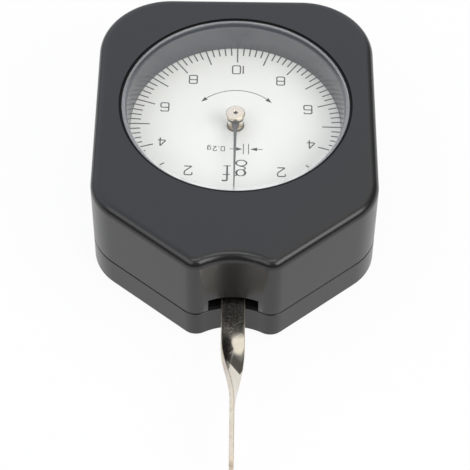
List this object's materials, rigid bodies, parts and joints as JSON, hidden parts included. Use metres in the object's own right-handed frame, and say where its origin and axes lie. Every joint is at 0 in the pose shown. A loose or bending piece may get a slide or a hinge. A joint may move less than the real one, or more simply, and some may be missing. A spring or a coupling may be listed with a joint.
{
  "type": "dial tension gauge",
  "caption": "Hand-held dial gauge in a dark moulded case with a round glazed scale, whose pointer shows the sideways push on a twisted steel feeler blade at its nose.",
  "frame": {"origin": "where the pointer's axis meets the flat back of the case", "axes": "+Z out of the dial along the pointer's axis, +Y towards the back edge, the feeler blade along -Y"},
  "size_m": [0.06, 0.1139, 0.0243],
  "materials": {
    "case": "black moulded resin, smooth and glossy, with a very fine grain",
    "crystal": "clear flat crystal with a finely ground bevel",
    "gasket": "black seal ring",
    "dial": "off-white satin lacquer with a printed black scale",
    "brass": "turned and lightly grained",
    "screw_steel": "zinc-plated screws",
    "arbor_steel": "turned and polished",
    "blade_steel": "nickel-plated strip, polished, finely pitted near its root and grained on its edges",
    "spring_steel": "blued strip",
    "pointer_black": "black lacquer"
  },
  "bodies": {
    "body": {"upper_case": "case", "rear_cover": "case", "case_screws": "screw_steel", "crystal": "crystal", "crystal_gasket": "gasket", "dial_plate": "dial", "dial_feet": "brass", "main_plate": "brass", "bridge_plate": "brass", "pillars": "brass", "pillar_screws": "screw_steel", "movement_screws": "screw_steel", "lever_bushes": "brass", "pinion_bush": "brass", "dial_bush": "brass", "stop_pins": "arbor_steel", "measuring_spring": "spring_steel", "spring_stud": "arbor_steel", "hairspring": "spring_steel", "hairspring_stud": "arbor_steel"},
    "lever": {"lever_arbor": "arbor_steel", "lever_hub": "brass", "sector_gear": "brass", "feeler_blade": "blade_steel", "blade_rivets": "arbor_steel", "balance_weights": "brass", "balance_rivet": "arbor_steel", "spring_collet": "brass"},
    "pointer": {"pinion_arbor": "arbor_steel", "hairspring_collet": "brass", "pointer_blade": "pointer_black", "pointer_boss": "brass"}
  },
  "joints": [
    {"name": "lever_pivot", "type": "hinge", "parent": "body", "child": "lever", "pos_m": [0, -0.025, 0.01], "axis": [0, 0, 1], "range_deg": [-7.5, 7.5], "stiffness_Nm_per_rad": 0.0427},
    {"name": "pointer_spin", "type": "hinge", "parent": "body", "child": "pointer", "pos_m": [0, 0, 0.01], "axis": [0, 0, 1], "continuous": true}
  ],
  "couplings": [
    {"joint": "pointer_spin", "follows": "lever_pivot", "ratio": -24}
  ]
}
